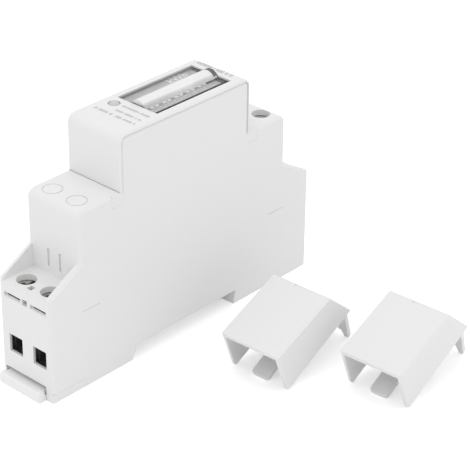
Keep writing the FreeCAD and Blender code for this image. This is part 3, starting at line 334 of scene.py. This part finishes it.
def moulded(name, color, roughness=0.45, grain_size=0.12 * MM, grain_depth=0.006 * MM):
    """A plastic with a moulded surface."""
    material = new_material(name, color, roughness)
    shader = principled(material)
    surface = material.node_tree.nodes.new("ShaderNodeGroup")
    surface.node_tree = moulded_group()
    surface.inputs["Color"].default_value = rgba(color)
    surface.inputs["Roughness"].default_value = roughness
    surface.inputs["Grain Scale"].default_value = 1.0 / max(grain_size, 1e-6)
    surface.inputs["Grain Depth"].default_value = grain_depth
    surface.inputs["Shade"].default_value = 0.012
    link(material, surface, "Color", shader, "Base Color")
    link(material, surface, "Roughness", shader, "Roughness")
    link(material, surface, "Normal", shader, "Normal")
    return material


def clear_plastic(name):
    """Clear moulding that bends what is seen through it and lets studio light pass below."""
    material = new_material(name, (1.0, 1.0, 1.0), 0.03, IOR=1.49, Transmission_Weight=1.0)
    nodes = material.node_tree.nodes
    path = nodes.new("ShaderNodeLightPath")
    either = nodes.new("ShaderNodeMath")
    either.operation = "MAXIMUM"
    link(material, path, "Is Shadow Ray", either, 0)
    link(material, path, "Is Diffuse Ray", either, 1)
    passing = nodes.new("ShaderNodeBsdfTransparent")
    mix = nodes.new("ShaderNodeMixShader")
    link(material, either, 0, mix, 0)
    link(material, principled(material), "BSDF", mix, 1)
    link(material, passing, "BSDF", mix, 2)
    link(material, mix, 0, nodes["Material Output"], "Surface")
    return material


def bright_bar(name):
    """The magnifying bar: clear from straight above, and mirroring the bright studio at a slant."""
    material = clear_plastic(name)
    nodes = material.node_tree.nodes
    through = nodes["Material Output"].inputs["Surface"].links[0].from_socket
    slant = nodes.new("ShaderNodeLayerWeight")
    slant.inputs["Blend"].default_value = 0.5
    share = nodes.new("ShaderNodeMapRange")
    share.inputs["From Min"].default_value = 0.14
    share.inputs["From Max"].default_value = 0.3
    share.inputs["To Max"].default_value = 0.92
    sheen = nodes.new("ShaderNodeBsdfGlossy")
    sheen.inputs["Color"].default_value = (0.9, 0.9, 0.9, 1.0)
    sheen.inputs["Roughness"].default_value = 0.45
    mix = nodes.new("ShaderNodeMixShader")
    link(material, slant, "Facing", share, "Value")
    link(material, share, "Result", mix, 0)
    material.node_tree.links.new(through, mix.inputs[1])
    link(material, sheen, "BSDF", mix, 2)
    link(material, mix, 0, nodes["Material Output"], "Surface")
    return material


def paint_faces(name, material, wanted):
    """Give some faces of a CAD node another material; wanted gets their places and directions."""
    item = NODES[name]
    faces = item.data.polygons
    place = np.zeros(len(faces) * 3)
    faces.foreach_get("center", place)
    facing = np.zeros(len(faces) * 3)
    faces.foreach_get("normal", facing)
    turn = np.array(item.matrix_world.to_3x3())
    place = place.reshape(-1, 3) @ turn.T + np.array(item.matrix_world.translation)
    chosen = wanted(place, facing.reshape(-1, 3) @ turn.T)
    item.data.materials.append(material)
    slots = np.zeros(len(faces), dtype=np.int32)
    faces.foreach_get("material_index", slots)
    slots[chosen] = len(item.data.materials) - 1
    faces.foreach_set("material_index", slots)


def drawn_metal(name, color, roughness, direction, scratch=0.0015 * MM):
    """A metal with fine lines along one axis: noise stretched on Object coordinates."""
    material = new_material(name, color, roughness, Metallic=1.0)
    shader = principled(material)
    nodes = material.node_tree.nodes
    place = nodes.new("ShaderNodeTexCoord")
    stretch = nodes.new("ShaderNodeMapping")
    stretch.inputs["Scale"].default_value = direction
    lines = nodes.new("ShaderNodeTexNoise")
    lines.inputs["Scale"].default_value = 1.0
    lines.inputs["Detail"].default_value = 3.0
    bump = nodes.new("ShaderNodeBump")
    bump.inputs["Distance"].default_value = scratch
    uneven = nodes.new("ShaderNodeMapRange")
    uneven.inputs["To Min"].default_value = roughness * 0.8
    uneven.inputs["To Max"].default_value = min(1.0, roughness * 1.25)
    link(material, place, "Object", stretch, "Vector")
    link(material, stretch, "Vector", lines, "Vector")
    link(material, lines, "Fac", bump, "Height")
    link(material, lines, "Fac", uneven, "Value")
    link(material, uneven, "Result", shader, "Roughness")
    link(material, bump, "Normal", shader, "Normal")
    return material


def seen_ray(tree):
    """A factor of 1 for rays that the eye follows: straight, mirrored or through the window."""
    path = tree.nodes.new("ShaderNodeLightPath")
    factor = path.outputs["Is Camera Ray"]
    for kind in ("Is Glossy Ray", "Is Transmission Ray"):
        most = tree.nodes.new("ShaderNodeMath")
        most.operation = "MAXIMUM"
        tree.links.new(factor, most.inputs[0])
        tree.links.new(path.outputs[kind], most.inputs[1])
        factor = most.outputs[0]
    return most


def finish(material, *names):
    """Give CAD nodes one material."""
    for name in names:
        mesh = NODES[name].data
        mesh.materials.clear()
        mesh.materials.append(material)


# Mesh building
def new_piece(name, points, faces, material, body):
    """A piece from arrays of points and faces in the row frame, in metres."""
    mesh = bpy.data.meshes.new(name)
    mesh.from_pydata(np.asarray(points).tolist(), [], np.asarray(faces).tolist())
    mesh.materials.append(material)
    mesh.update()
    piece = bpy.data.objects.new(name, mesh)
    bpy.context.scene.collection.objects.link(piece)
    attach(piece, body)
    return piece


def bars(spans, height):
    """Flat bars: each row of spans is x0, x1, y0, y1 in millimetres, laid at one height."""
    spans = np.asarray(spans, float) * MM
    corners = spans[:, [0, 2, 1, 2, 1, 3, 0, 3]].reshape(-1, 4, 2)
    points = np.concatenate([corners, np.full((len(spans), 4, 1), height)], axis=2).reshape(-1, 3)
    faces = np.arange(len(points)).reshape(-1, 4)
    return points, faces


def arched_band(along, width, rise, base):
    """A band of painted shade over the magnifying bar: z = base + rise - r + sqrt(r^2 - y^2).

    The radius r is that of the arc with the bar's width and rise.
    """
    count = BAR_END_STEPS + 1
    radius = (width * width / 4 + rise * rise) / (2 * rise)
    across = np.linspace(-BAR_END_SHARE, BAR_END_SHARE, count) * width
    height = base + rise - radius + np.sqrt(radius * radius - across * across) + SHADE_LIFT * MM
    points = np.concatenate([np.stack([np.full(count, x), across, height], axis=1) for x in along])
    first = np.arange(BAR_END_STEPS)
    return points, np.stack([first, first + count, first + count + 1, first + 1], axis=1)


def block(x, y, z):
    """A closed box: all pairings of the ends of its three spans, in millimetres."""
    points = np.stack(np.meshgrid(x, y, z, indexing="ij"), axis=-1).reshape(-1, 3) * MM
    faces = [(0, 1, 3, 2), (4, 6, 7, 5), (0, 4, 5, 1), (2, 3, 7, 6), (0, 2, 6, 4), (1, 5, 7, 3)]
    return points, faces


def slot_depths(end):
    """Painted shade: dark quads over the far parts of the four cover slots, on the ramp z = floor +
    slope * depth.
    """
    side, middle, edge, depth = np.meshgrid(
        (-1, 1), SLOT_MIDDLES, SLOT_EDGES, SLOT_DEPTHS, indexing="ij")
    height = SLOT_FLOOR + SLOT_SLOPE * depth + SLOT_LIFT
    points = np.stack([side * (end / MM - depth), middle + edge, height], axis=-1).reshape(-1, 3)
    faces = np.arange(16).reshape(4, 4)[:, [0, 1, 3, 2]]
    faces[2:] = faces[2:, ::-1]
    return points * MM, faces


def between(values, span):
    return (values > span[0]) & (values < span[1])


def in_chamber(place, facing):
    """The base's faces inside the four terminal chambers, up to the backs of the openings, that get
    painted shade.
    """
    along = np.abs(place[:, 0]) / MM
    height = place[:, 2] / MM
    inside = between(along, CHAMBER_ALONG) & between(height, CHAMBER_HEIGHT)
    relief = between(along, RELIEF_ALONG) & between(height, RELIEF_HEIGHT)
    return (inside | relief) & (np.abs(place[:, 1]) < CHAMBER_REACH * MM)


def word_outline(words, height, middle, weight=0.0):
    """The filled outlines of plain characters, flat about a middle point; weight thickens them."""
    curve = bpy.data.curves.new("characters", "FONT")
    curve.body = words
    curve.align_x = "CENTER"
    curve.align_y = "CENTER"
    curve.size = height / CAP_HEIGHT
    curve.resolution_u = 3
    curve.offset = weight
    holder = bpy.data.objects.new("characters", curve)
    bpy.context.scene.collection.objects.link(holder)
    bpy.context.view_layer.update()
    evaluated = holder.evaluated_get(bpy.context.evaluated_depsgraph_get())
    mesh = bpy.data.meshes.new_from_object(evaluated)
    points = np.zeros(len(mesh.vertices) * 3)
    mesh.vertices.foreach_get("co", points)
    points = points.reshape(-1, 3)
    points[:, :2] += middle
    faces = [list(face.vertices) for face in mesh.polygons]
    bpy.data.objects.remove(holder)
    bpy.data.curves.remove(curve)
    bpy.data.meshes.remove(mesh)
    return points, faces


class METER_OT_shell(bpy.types.Operator):
    """Finish the housing, cap, latch and terminal covers"""

    bl_idname = "rail_meter.shell"
    bl_label = "White Mouldings"

    def execute(self, context):
        look = settings().shell
        texture = (look.roughness, look.grain_size, look.grain_depth)
        white = moulded("White moulding", look.color, *texture)
        finish(white, "base_housing", "side_cover", "front_cap",
               "terminal_cover_a", "terminal_cover_b")
        # Painted shade: the white faces inside the terminal chambers get a near-black colour.
        dark = moulded("Painted chamber shade", look.chamber_color, 0.6)
        paint_faces("base_housing", dark, in_chamber)
        pale = moulded("White latch", look.latch_color, *texture)
        finish(pale, "rail_latch")
        points, faces = block(*LATCH_WEB)
        new_piece("latch_web", points, faces, pale, "latch")
        # Painted shade: dark quads on the far parts of the cover slots' ramps, in the chamber
        # colour.
        gap = new_material("Painted slot shade", look.chamber_color, 0.7)
        points, faces = slot_depths(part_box("side_cover")[1].x)
        new_piece("slot_depths", points, faces, gap, "root")
        front = -look.head_length / 2 / MM
        line = new_material("Head seam", look.seam_color, 0.7)
        seam = (front - SEAM_WIDTH, front, -SEAM_REACH, SEAM_REACH)
        points, faces = bars([seam], SEAM_HEIGHT * MM)
        new_piece("head_seam", points, faces, line, "root")
        return {"FINISHED"}


class METER_OT_window(bpy.types.Operator):
    """Finish the window, dial plate and status lamp"""

    bl_idname = "rail_meter.window"
    bl_label = "Window and Dial"

    def execute(self, context):
        look = settings().dial
        finish(clear_plastic("Clear window"), "window_lens")
        lens_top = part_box("window_lens")[1].z
        plate_top = lens_top - look.bar_rise
        paint_faces("window_lens", bright_bar("Magnifying bar"),
                    lambda place, facing: place[:, 2] > plate_top + 0.01 * MM)
        # Painted shade: the side faces of the window plate below the bar are greyed and darkened
        # for the shade of the recess walls.
        rim = new_material("Painted shade on window rim", look.rim_color, 0.5)
        paint_faces("window_lens", rim,
                    lambda place, facing: (np.abs(facing[:, 2]) < 0.3) & (place[:, 2] < plate_top))
        ends = new_material("Painted shade on window ends", look.end_color, 0.5)
        paint_faces("window_lens", ends,
                    lambda place, facing: (np.abs(facing[:, 0]) > 0.7) & (place[:, 2] < plate_top))
        finish(moulded("Dial plate", look.plate_color, 0.5, 0.2 * MM, 0.002 * MM), "dial_plate")
        lamp = new_material("Status lamp", look.lamp_color, 0.25, Coat_Weight=0.3)
        finish(lamp, "status_lamp")
        ink = new_material("Dial ink and painted highlights", look.print_color, 0.5)
        # Painted shade: the dark material for the bands at the plate's ends and over the bar's far
        # end.
        dark = new_material("Painted dial end shade", look.border_color, 0.5)
        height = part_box("dial_plate")[1].z
        unit_middle = np.array(UNIT_MIDDLE) * MM
        points, faces = word_outline("kWh", UNIT_HEIGHT * MM, unit_middle, UNIT_WEIGHT * MM)
        points[:, 2] = height + PRINT_LIFT * MM
        new_piece("dial_unit", points, faces, ink, "root")
        # Painted highlights: pale lines for the lit edges of the plate's ribs, in the same material
        # as the printed unit.
        lines = [(*LINE_SPAN, y, y + LINE_WIDTH) for y in LINE_STARTS]
        points, faces = bars(lines, height + PRINT_LIFT * MM)
        new_piece("painted_dial_highlights", points, faces, ink, "root")
        # Painted shade: a grey strip beside each pale line for the shaded side of each rib.
        shade = new_material("Dial painted shade", look.shade_color, 0.5)
        shades = [(x0, x1, y1, y1 + SHADE_END) for x0, x1, y0, y1 in lines]
        points, faces = bars(shades, height + SHADE_LIFT * MM)
        new_piece("dial_painted_shades", points, faces, shade, "root")
        points, faces = bars(DIAL_END_SHADES, height + BORDER_LIFT * MM)
        new_piece("painted_dial_end_shade", points, faces, dark, "root")
        # Painted shadow: a near-black strip along the near edge of the window plate.
        joint = new_material("Painted shadow on window joint", look.joint_color, 0.6)
        points, faces = bars([WINDOW_SHADOW_GAP], plate_top + BORDER_LIFT * MM)
        new_piece("window_shadow_gap", points, faces, joint, "root")
        # Painted shade: a dark arched band over the far end of the magnifying bar.
        band = np.array(BAR_END) * MM
        points, faces = arched_band(band, look.bar_width, look.bar_rise, plate_top)
        new_piece("painted_shade_far_bar", points, faces, dark, "root")
        return {"FINISHED"}


class METER_OT_numbers(bpy.types.Operator):
    """Put a ring of plain numbers round each drum, each bent to the drum's radius"""

    bl_idname = "rail_meter.numbers"
    bl_label = "Numbers"

    def execute(self, context):
        look = settings().dial
        ink = new_material("Number print", look.number_color, 0.5)
        drum = moulded("Number drum", (0.86, 0.86, 0.85), 0.4, 0.2 * MM, 0.001 * MM)
        flat = [word_outline(str(digit), look.number_height, (0.0, 0.0))
                for digit in range(DIGITS)]
        for place in range(1, WHEELS + 1):
            name = "number_wheel_%d" % place
            finish(drum, name)
            low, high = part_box(name)
            radius = (high.y - low.y) / 2 + NUMBER_LIFT * MM
            axis_z = (low.z + high.z) / 2
            middle = low.x + NUMBER_MARGIN * MM + NUMBER_HALF_WIDTH * MM
            points = []
            faces = []
            for digit, (shape, ring) in enumerate(flat):
                angle = math.tau * digit / DIGITS + shape[:, 1] / radius
                start = sum(len(part) for part in points)
                faces += [[index + start for index in face] for face in ring]
                points.append(np.stack([
                    middle + shape[:, 0],
                    radius * np.sin(angle),
                    axis_z + radius * np.cos(angle)], axis=1))
            mesh = bpy.data.meshes.new(name + "_print")
            mesh.from_pydata(np.concatenate(points).tolist(), [], faces)
            mesh.materials.append(ink)
            piece = bpy.data.objects.new(name + "_print", mesh)
            context.scene.collection.objects.link(piece)
            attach(piece, "wheel_%d" % place)
        return {"FINISHED"}


class METER_OT_marks(bpy.types.Operator):
    """Print plain marks on the front cap"""

    bl_idname = "rail_meter.marks"
    bl_label = "Cap Marks"

    def execute(self, context):
        look = settings().marks
        ink = new_material("Cap print", look.color, 0.5)
        width = look.tick_width / MM
        chance = np.random.default_rng(7)
        rows = []
        for x, low, high, tall in MARK_ROWS:
            places = np.arange(low, high, width * MARK_SPACING)
            places = places[chance.random(len(places)) > MARK_GAPS]
            reach = tall * (0.35 + 0.15 * chance.random(len(places)))
            ticks = [x - reach, x + reach, places, places + width]
            rows += np.stack(ticks, axis=1).tolist()
        points, faces = bars(rows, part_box("front_cap")[1].z + BORDER_LIFT * MM)
        new_piece("cap_marks", points, faces, ink, "root")
        return {"FINISHED"}


class METER_OT_metal(bpy.types.Operator):
    """Finish the clamps, screws, busbars and shafts"""

    bl_idname = "rail_meter.metal"
    bl_label = "Metal Parts"

    def execute(self, context):
        clamp = drawn_metal("Plated clamp", (0.4, 0.4, 0.39), 0.38, (2500.0, 400.0, 2500.0))
        screw = drawn_metal("Plated screw", (0.6, 0.59, 0.56), 0.34, (3000.0, 3000.0, 300.0))
        for terminal in POWER_TERMINALS + PULSE_TERMINALS:
            finish(clamp, "clamp_" + terminal)
            finish(screw, "screw_" + terminal)
        finish(drawn_metal("Copper bar", (0.72, 0.36, 0.22), 0.35, (200.0, 3000.0, 3000.0)),
               "neutral_bar", "live_bar_in", "live_bar_out")
        finish(drawn_metal("Shunt alloy", (0.56, 0.45, 0.34), 0.4, (200.0, 3000.0, 3000.0)),
               "shunt_strip")
        finish(drawn_metal("Tinned strip", (0.66, 0.66, 0.65), 0.3, (300.0, 3000.0, 3000.0)),
               "contact_pulse_plus", "contact_pulse_minus")
        finish(drawn_metal("Drawn steel", (0.55, 0.55, 0.56), 0.28, (300.0, 3000.0, 3000.0)),
               "register_shaft", "pinion_shaft", "drive_arbor", "stepper_stator")
        return {"FINISHED"}


class METER_OT_works(bpy.types.Operator):
    """Finish the register gears, motor and electronics"""

    bl_idname = "rail_meter.works"
    bl_label = "Register and Board"

    def execute(self, context):
        finish(moulded("Gear resin", (0.8, 0.8, 0.77), 0.35), "drive_gear",
               *["carry_pinion_%d" % count for count in range(1, WHEELS)])
        finish(moulded("Frame resin", (0.78, 0.78, 0.77), 0.5), "register_frame")
        finish(moulded("Bonded magnet", (0.04, 0.04, 0.045), 0.6), "stepper_rotor")
        finish(moulded("Winding", (0.45, 0.16, 0.06), 0.3, 0.3 * MM, 0.05 * MM), "stepper_coil")
        finish(moulded("Solder resist", (0.01, 0.12, 0.05), 0.3, 0.6 * MM, 0.01 * MM),
               "circuit_board")
        finish(moulded("Film capacitor case", (0.6, 0.38, 0.04), 0.3), "film_capacitor")
        finish(moulded("Capacitor sleeve", (0.02, 0.02, 0.025), 0.25), "supply_capacitor")
        finish(moulded("Varistor coating", (0.03, 0.1, 0.35), 0.25, 0.5 * MM, 0.02 * MM),
               "varistor")
        finish(moulded("Chip package", (0.02, 0.02, 0.02), 0.5), "metering_chip", "pulse_coupler")
        return {"FINISHED"}


class METER_OT_stage(bpy.types.Operator):
    """Build the floor, lamps, sky and camera"""

    bl_idname = "rail_meter.stage"
    bl_label = "Studio"

    def execute(self, context):
        look = settings().studio
        self.make_floor(look)
        self.make_sky(look)
        self.make_lamp("Top lamp", look.top_lamp, TOP_LAMP_PLACE)
        self.make_lamp("Side lamp", look.side_lamp, SIDE_LAMP_PLACE)
        self.make_camera(context, look)
        context.scene.view_settings.view_transform = "Standard"
        return {"FINISHED"}

    def make_floor(self, look):
        ends = (-FLOOR_REACH, FLOOR_REACH)
        points = [(x, y, FLOOR) for y, across in zip(ends, (ends, ends[::-1])) for x in across]
        mesh = bpy.data.meshes.new("floor")
        mesh.from_pydata(points, [], [(0, 1, 2, 3)])
        mesh.materials.append(self.floor_material(look))
        floor = bpy.data.objects.new("floor", mesh)
        bpy.context.scene.collection.objects.link(floor)

    def floor_material(self, look):
        """White board: lit like any surface, and lifted where the camera looks straight at it."""
        material = new_material("Studio floor", (0.96, 0.96, 0.96), 0.9)
        shader = principled(material)
        nodes = material.node_tree.nodes
        glow = nodes.new("ShaderNodeEmission")
        glow.inputs["Strength"].default_value = look.floor_glow
        both = nodes.new("ShaderNodeAddShader")
        mix = nodes.new("ShaderNodeMixShader")
        seen = seen_ray(material.node_tree)
        link(material, shader, "BSDF", both, 0)
        link(material, glow, "Emission", both, 1)
        link(material, seen, 0, mix, 0)
        link(material, shader, "BSDF", mix, 1)
        link(material, both, 0, mix, 2)
        link(material, mix, 0, nodes["Material Output"], "Surface")
        return material

    def make_sky(self, look):
        world = bpy.data.worlds.new("Studio sky")
        bpy.context.scene.world = world
        world.use_nodes = True
        nodes = world.node_tree.nodes
        links = world.node_tree.links
        light = nodes["Background"]
        light.inputs["Color"].default_value = (1.0, 1.0, 1.0, 1.0)
        light.inputs["Strength"].default_value = look.sky
        backdrop = nodes.new("ShaderNodeBackground")
        backdrop.inputs["Color"].default_value = (1.0, 1.0, 1.0, 1.0)
        mix = nodes.new("ShaderNodeMixShader")
        links.new(seen_ray(world.node_tree).outputs[0], mix.inputs[0])
        links.new(light.outputs[0], mix.inputs[1])
        links.new(backdrop.outputs[0], mix.inputs[2])
        links.new(mix.outputs[0], nodes["World Output"].inputs["Surface"])

    def make_lamp(self, name, power, place):
        lamp = bpy.data.lights.new(name, "AREA")
        lamp.energy = power
        lamp.size = LAMP_SIZE
        holder = bpy.data.objects.new(name, lamp)
        holder.location = place
        holder.rotation_euler = (-Vector(place)).to_track_quat("-Z", "Y").to_euler()
        bpy.context.scene.collection.objects.link(holder)

    def make_camera(self, context, look):
        forward = Vector((
            math.cos(look.pitch) * math.sin(look.azimuth),
            math.cos(look.pitch) * math.cos(look.azimuth),
            -math.sin(look.pitch)))
        level = Vector((math.cos(look.azimuth), -math.sin(look.azimuth), 0.0))
        upward = level.cross(forward)
        right = math.cos(look.roll) * level + math.sin(look.roll) * upward
        up = math.cos(look.roll) * upward - math.sin(look.roll) * level
        camera = bpy.data.cameras.new("Camera")
        camera.lens = look.lens
        camera.sensor_width = SENSOR_WIDTH
        camera.clip_start = 0.01
        holder = bpy.data.objects.new("Camera", camera)
        turn = Matrix((right, up, -forward)).transposed().to_4x4()
        holder.matrix_world = Matrix.Translation(Vector(look.camera_place)) @ turn
        context.scene.collection.objects.link(holder)
        context.scene.camera = holder


class METER_PT_panel(bpy.types.Panel):
    """The meter's steps, in order"""

    bl_idname = "METER_PT_panel"
    bl_label = "Energy Meter"
    bl_space_type = "VIEW_3D"
    bl_region_type = "UI"
    bl_category = "Meter"

    def draw(self, context):
        for step in STEPS:
            self.layout.operator(step.bl_idname)


STEPS = (
    METER_OT_shell,
    METER_OT_window,
    METER_OT_numbers,
    METER_OT_marks,
    METER_OT_metal,
    METER_OT_works,
    METER_OT_stage,
)
CLASSES = (
    ShellSettings, DialSettings, PrintSettings, StudioSettings, MeterSettings,
    *STEPS, METER_PT_panel,
)


def register():
    for item in CLASSES:
        bpy.utils.register_class(item)
    bpy.types.Scene.rail_meter = bpy.props.PointerProperty(type=MeterSettings)


def unregister():
    del bpy.types.Scene.rail_meter
    for item in reversed(CLASSES):
        bpy.utils.unregister_class(item)


def corners(box):
    return [list(corner) for corner in box]


def main():
    register()
    bpy.ops.rail_meter.shell()
    bpy.ops.rail_meter.window()
    bpy.ops.rail_meter.numbers()
    bpy.ops.rail_meter.marks()
    bpy.ops.rail_meter.metal()
    bpy.ops.rail_meter.works()
    bpy.ops.rail_meter.stage()


if __name__ == "__main__":
    main()
